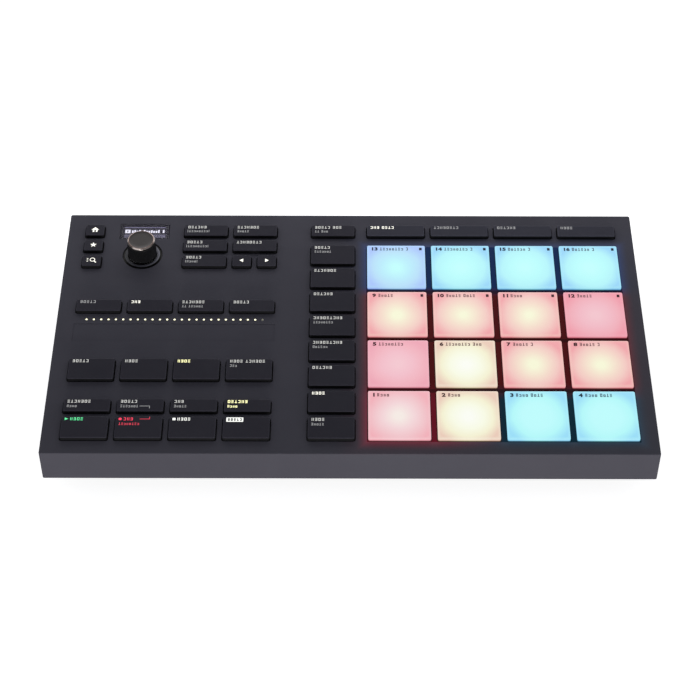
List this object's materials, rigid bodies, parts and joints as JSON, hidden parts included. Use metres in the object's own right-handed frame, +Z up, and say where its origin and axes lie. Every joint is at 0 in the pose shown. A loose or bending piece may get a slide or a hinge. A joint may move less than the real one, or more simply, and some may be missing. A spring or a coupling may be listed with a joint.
{
  "type": "midi pad controller",
  "caption": "Low desktop controller with a square grid of lit pads, rectangular push buttons, a lamp strip, a small display and a push-and-turn knob.",
  "frame": {"origin": "centre of the footprint on the surface that the feet stand on", "axes": "+X to the player's right along the long side, +Y away from the player, +Z up out of the panel"},
  "size_m": [0.32, 0.177, 0.045],
  "materials": {
    "shell": "fine matte grain, dark grey",
    "tray": "matte, near black",
    "cap_plastic": "smooth matte, dark grey",
    "pad_silicone": "translucent matte, lit from below",
    "dome_silicone": "milky",
    "sensor_film": "printed film",
    "board": "laminate with lacquer",
    "clear_plastic": "clear moulding",
    "window": "tinted lens",
    "display": "black glass with white pixels",
    "collar": "satin",
    "knob_plastic": "knurled, soft black",
    "knob_metal": "spun, dark anodised with a bright chamfer",
    "encoder_metal": "plain",
    "socket_metal": "plated",
    "screw_steel": "black zinc",
    "foot_rubber": "matte"
  },
  "bodies": {
    "root": {"top_case": "shell", "bottom_case": "tray", "rubber_feet": "foot_rubber", "pad_mat": "pad_silicone", "pad_sensor_sheet": "sensor_film", "pad_board": "board", "main_board": "board", "button_mat": "dome_silicone", "strip_light_guide": "clear_plastic", "touch_strip": "sensor_film", "display_window": "window", "display_module": "display", "encoder_collar": "collar", "encoder_body": "encoder_metal", "usb_socket": "socket_metal", "case_screws": "screw_steel", "board_screws": "screw_steel"},
    "knob_carrier": {"encoder_plunger": "encoder_metal"},
    "knob": {"encoder_shaft": "encoder_metal", "encoder_knob": "knob_plastic", "knob_cap": "knob_metal"},
    "button_home": {"button_home": "cap_plastic"},
    "button_favorite": {"button_favorite": "cap_plastic"},
    "button_browse": {"button_browse": "cap_plastic"},
    "button_volume": {"button_volume": "cap_plastic"},
    "button_swing": {"button_swing": "cap_plastic"},
    "button_tempo": {"button_tempo": "cap_plastic"},
    "button_plugin": {"button_plugin": "cap_plastic"},
    "button_sampling": {"button_sampling": "cap_plastic"},
    "button_left": {"button_left": "cap_plastic"},
    "button_right": {"button_right": "cap_plastic"},
    "button_fixed_velocity": {"button_fixed_velocity": "cap_plastic"},
    "button_pitch": {"button_pitch": "cap_plastic"},
    "button_mod": {"button_mod": "cap_plastic"},
    "button_perform": {"button_perform": "cap_plastic"},
    "button_notes": {"button_notes": "cap_plastic"},
    "button_group": {"button_group": "cap_plastic"},
    "button_auto": {"button_auto": "cap_plastic"},
    "button_lock": {"button_lock": "cap_plastic"},
    "button_note_repeat": {"button_note_repeat": "cap_plastic"},
    "button_restart": {"button_restart": "cap_plastic"},
    "button_erase": {"button_erase": "cap_plastic"},
    "button_tap": {"button_tap": "cap_plastic"},
    "button_follow": {"button_follow": "cap_plastic"},
    "button_play": {"button_play": "cap_plastic"},
    "button_record": {"button_record": "cap_plastic"},
    "button_stop": {"button_stop": "cap_plastic"},
    "button_shift": {"button_shift": "cap_plastic"},
    "button_mute": {"button_mute": "cap_plastic"},
    "button_solo": {"button_solo": "cap_plastic"},
    "button_select": {"button_select": "cap_plastic"},
    "button_duplicate": {"button_duplicate": "cap_plastic"},
    "button_variation": {"button_variation": "cap_plastic"},
    "button_events": {"button_events": "cap_plastic"},
    "button_pattern": {"button_pattern": "cap_plastic"},
    "button_scene": {"button_scene": "cap_plastic"},
    "button_pad_mode": {"button_pad_mode": "cap_plastic"},
    "button_keyboard": {"button_keyboard": "cap_plastic"},
    "button_chords": {"button_chords": "cap_plastic"},
    "button_step": {"button_step": "cap_plastic"}
  },
  "joints": [
    {"name": "knob_push", "type": "slide", "parent": "root", "child": "knob_carrier", "axis": [0, 0, -1], "range_m": [0, 0.0005], "stiffness_N_per_m": 3000, "springref_m": -0.0007},
    {"name": "knob_turn", "type": "hinge", "parent": "knob_carrier", "child": "knob", "pos_m": [-0.11675, 0.056, 0.04], "axis": [0, 0, 1], "continuous": true},
    {"name": "press_home", "type": "slide", "parent": "root", "child": "button_home", "axis": [0, 0, -1], "range_m": [0, 0.001], "stiffness_N_per_m": 800, "springref_m": -0.0008, "deforming": ["button_mat"]},
    {"name": "press_favorite", "type": "slide", "parent": "root", "child": "button_favorite", "axis": [0, 0, -1], "range_m": [0, 0.001], "stiffness_N_per_m": 800, "springref_m": -0.0008, "deforming": ["button_mat"]},
    {"name": "press_browse", "type": "slide", "parent": "root", "child": "button_browse", "axis": [0, 0, -1], "range_m": [0, 0.001], "stiffness_N_per_m": 800, "springref_m": -0.0008, "deforming": ["button_mat"]},
    {"name": "press_volume", "type": "slide", "parent": "root", "child": "button_volume", "axis": [0, 0, -1], "range_m": [0, 0.001], "stiffness_N_per_m": 800, "springref_m": -0.0008, "deforming": ["button_mat"]},
    {"name": "press_swing", "type": "slide", "parent": "root", "child": "button_swing", "axis": [0, 0, -1], "range_m": [0, 0.001], "stiffness_N_per_m": 800, "springref_m": -0.0008, "deforming": ["button_mat"]},
    {"name": "press_tempo", "type": "slide", "parent": "root", "child": "button_tempo", "axis": [0, 0, -1], "range_m": [0, 0.001], "stiffness_N_per_m": 800, "springref_m": -0.0008, "deforming": ["button_mat"]},
    {"name": "press_plugin", "type": "slide", "parent": "root", "child": "button_plugin", "axis": [0, 0, -1], "range_m": [0, 0.001], "stiffness_N_per_m": 800, "springref_m": -0.0008, "deforming": ["button_mat"]},
    {"name": "press_sampling", "type": "slide", "parent": "root", "child": "button_sampling", "axis": [0, 0, -1], "range_m": [0, 0.001], "stiffness_N_per_m": 800, "springref_m": -0.0008, "deforming": ["button_mat"]},
    {"name": "press_left", "type": "slide", "parent": "root", "child": "button_left", "axis": [0, 0, -1], "range_m": [0, 0.001], "stiffness_N_per_m": 800, "springref_m": -0.0008, "deforming": ["button_mat"]},
    {"name": "press_right", "type": "slide", "parent": "root", "child": "button_right", "axis": [0, 0, -1], "range_m": [0, 0.001], "stiffness_N_per_m": 800, "springref_m": -0.0008, "deforming": ["button_mat"]},
    {"name": "press_fixed_velocity", "type": "slide", "parent": "root", "child": "button_fixed_velocity", "axis": [0, 0, -1], "range_m": [0, 0.001], "stiffness_N_per_m": 800, "springref_m": -0.0008, "deforming": ["button_mat"]},
    {"name": "press_pitch", "type": "slide", "parent": "root", "child": "button_pitch", "axis": [0, 0, -1], "range_m": [0, 0.001], "stiffness_N_per_m": 800, "springref_m": -0.0008, "deforming": ["button_mat"]},
    {"name": "press_mod", "type": "slide", "parent": "root", "child": "button_mod", "axis": [0, 0, -1], "range_m": [0, 0.001], "stiffness_N_per_m": 800, "springref_m": -0.0008, "deforming": ["button_mat"]},
    {"name": "press_perform", "type": "slide", "parent": "root", "child": "button_perform", "axis": [0, 0, -1], "range_m": [0, 0.001], "stiffness_N_per_m": 800, "springref_m": -0.0008, "deforming": ["button_mat"]},
    {"name": "press_notes", "type": "slide", "parent": "root", "child": "button_notes", "axis": [0, 0, -1], "range_m": [0, 0.001], "stiffness_N_per_m": 800, "springref_m": -0.0008, "deforming": ["button_mat"]},
    {"name": "press_group", "type": "slide", "parent": "root", "child": "button_group", "axis": [0, 0, -1], "range_m": [0, 0.001], "stiffness_N_per_m": 800, "springref_m": -0.0008, "deforming": ["button_mat"]},
    {"name": "press_auto", "type": "slide", "parent": "root", "child": "button_auto", "axis": [0, 0, -1], "range_m": [0, 0.001], "stiffness_N_per_m": 800, "springref_m": -0.0008, "deforming": ["button_mat"]},
    {"name": "press_lock", "type": "slide", "parent": "root", "child": "button_lock", "axis": [0, 0, -1], "range_m": [0, 0.001], "stiffness_N_per_m": 800, "springref_m": -0.0008, "deforming": ["button_mat"]},
    {"name": "press_note_repeat", "type": "slide", "parent": "root", "child": "button_note_repeat", "axis": [0, 0, -1], "range_m": [0, 0.001], "stiffness_N_per_m": 800, "springref_m": -0.0008, "deforming": ["button_mat"]},
    {"name": "press_restart", "type": "slide", "parent": "root", "child": "button_restart", "axis": [0, 0, -1], "range_m": [0, 0.001], "stiffness_N_per_m": 800, "springref_m": -0.0008, "deforming": ["button_mat"]},
    {"name": "press_erase", "type": "slide", "parent": "root", "child": "button_erase", "axis": [0, 0, -1], "range_m": [0, 0.001], "stiffness_N_per_m": 800, "springref_m": -0.0008, "deforming": ["button_mat"]},
    {"name": "press_tap", "type": "slide", "parent": "root", "child": "button_tap", "axis": [0, 0, -1], "range_m": [0, 0.001], "stiffness_N_per_m": 800, "springref_m": -0.0008, "deforming": ["button_mat"]},
    {"name": "press_follow", "type": "slide", "parent": "root", "child": "button_follow", "axis": [0, 0, -1], "range_m": [0, 0.001], "stiffness_N_per_m": 800, "springref_m": -0.0008, "deforming": ["button_mat"]},
    {"name": "press_play", "type": "slide", "parent": "root", "child": "button_play", "axis": [0, 0, -1], "range_m": [0, 0.001], "stiffness_N_per_m": 800, "springref_m": -0.0008, "deforming": ["button_mat"]},
    {"name": "press_record", "type": "slide", "parent": "root", "child": "button_record", "axis": [0, 0, -1], "range_m": [0, 0.001], "stiffness_N_per_m": 800, "springref_m": -0.0008, "deforming": ["button_mat"]},
    {"name": "press_stop", "type": "slide", "parent": "root", "child": "button_stop", "axis": [0, 0, -1], "range_m": [0, 0.001], "stiffness_N_per_m": 800, "springref_m": -0.0008, "deforming": ["button_mat"]},
    {"name": "press_shift", "type": "slide", "parent": "root", "child": "button_shift", "axis": [0, 0, -1], "range_m": [0, 0.001], "stiffness_N_per_m": 800, "springref_m": -0.0008, "deforming": ["button_mat"]},
    {"name": "press_mute", "type": "slide", "parent": "root", "child": "button_mute", "axis": [0, 0, -1], "range_m": [0, 0.001], "stiffness_N_per_m": 800, "springref_m": -0.0008, "deforming": ["button_mat"]},
    {"name": "press_solo", "type": "slide", "parent": "root", "child": "button_solo", "axis": [0, 0, -1], "range_m": [0, 0.001], "stiffness_N_per_m": 800, "springref_m": -0.0008, "deforming": ["button_mat"]},
    {"name": "press_select", "type": "slide", "parent": "root", "child": "button_select", "axis": [0, 0, -1], "range_m": [0, 0.001], "stiffness_N_per_m": 800, "springref_m": -0.0008, "deforming": ["button_mat"]},
    {"name": "press_duplicate", "type": "slide", "parent": "root", "child": "button_duplicate", "axis": [0, 0, -1], "range_m": [0, 0.001], "stiffness_N_per_m": 800, "springref_m": -0.0008, "deforming": ["button_mat"]},
    {"name": "press_variation", "type": "slide", "parent": "root", "child": "button_variation", "axis": [0, 0, -1], "range_m": [0, 0.001], "stiffness_N_per_m": 800, "springref_m": -0.0008, "deforming": ["button_mat"]},
    {"name": "press_events", "type": "slide", "parent": "root", "child": "button_events", "axis": [0, 0, -1], "range_m": [0, 0.001], "stiffness_N_per_m": 800, "springref_m": -0.0008, "deforming": ["button_mat"]},
    {"name": "press_pattern", "type": "slide", "parent": "root", "child": "button_pattern", "axis": [0, 0, -1], "range_m": [0, 0.001], "stiffness_N_per_m": 800, "springref_m": -0.0008, "deforming": ["button_mat"]},
    {"name": "press_scene", "type": "slide", "parent": "root", "child": "button_scene", "axis": [0, 0, -1], "range_m": [0, 0.001], "stiffness_N_per_m": 800, "springref_m": -0.0008, "deforming": ["button_mat"]},
    {"name": "press_pad_mode", "type": "slide", "parent": "root", "child": "button_pad_mode", "axis": [0, 0, -1], "range_m": [0, 0.001], "stiffness_N_per_m": 800, "springref_m": -0.0008, "deforming": ["button_mat"]},
    {"name": "press_keyboard", "type": "slide", "parent": "root", "child": "button_keyboard", "axis": [0, 0, -1], "range_m": [0, 0.001], "stiffness_N_per_m": 800, "springref_m": -0.0008, "deforming": ["button_mat"]},
    {"name": "press_chords", "type": "slide", "parent": "root", "child": "button_chords", "axis": [0, 0, -1], "range_m": [0, 0.001], "stiffness_N_per_m": 800, "springref_m": -0.0008, "deforming": ["button_mat"]},
    {"name": "press_step", "type": "slide", "parent": "root", "child": "button_step", "axis": [0, 0, -1], "range_m": [0, 0.001], "stiffness_N_per_m": 800, "springref_m": -0.0008, "deforming": ["button_mat"]}
  ]
}
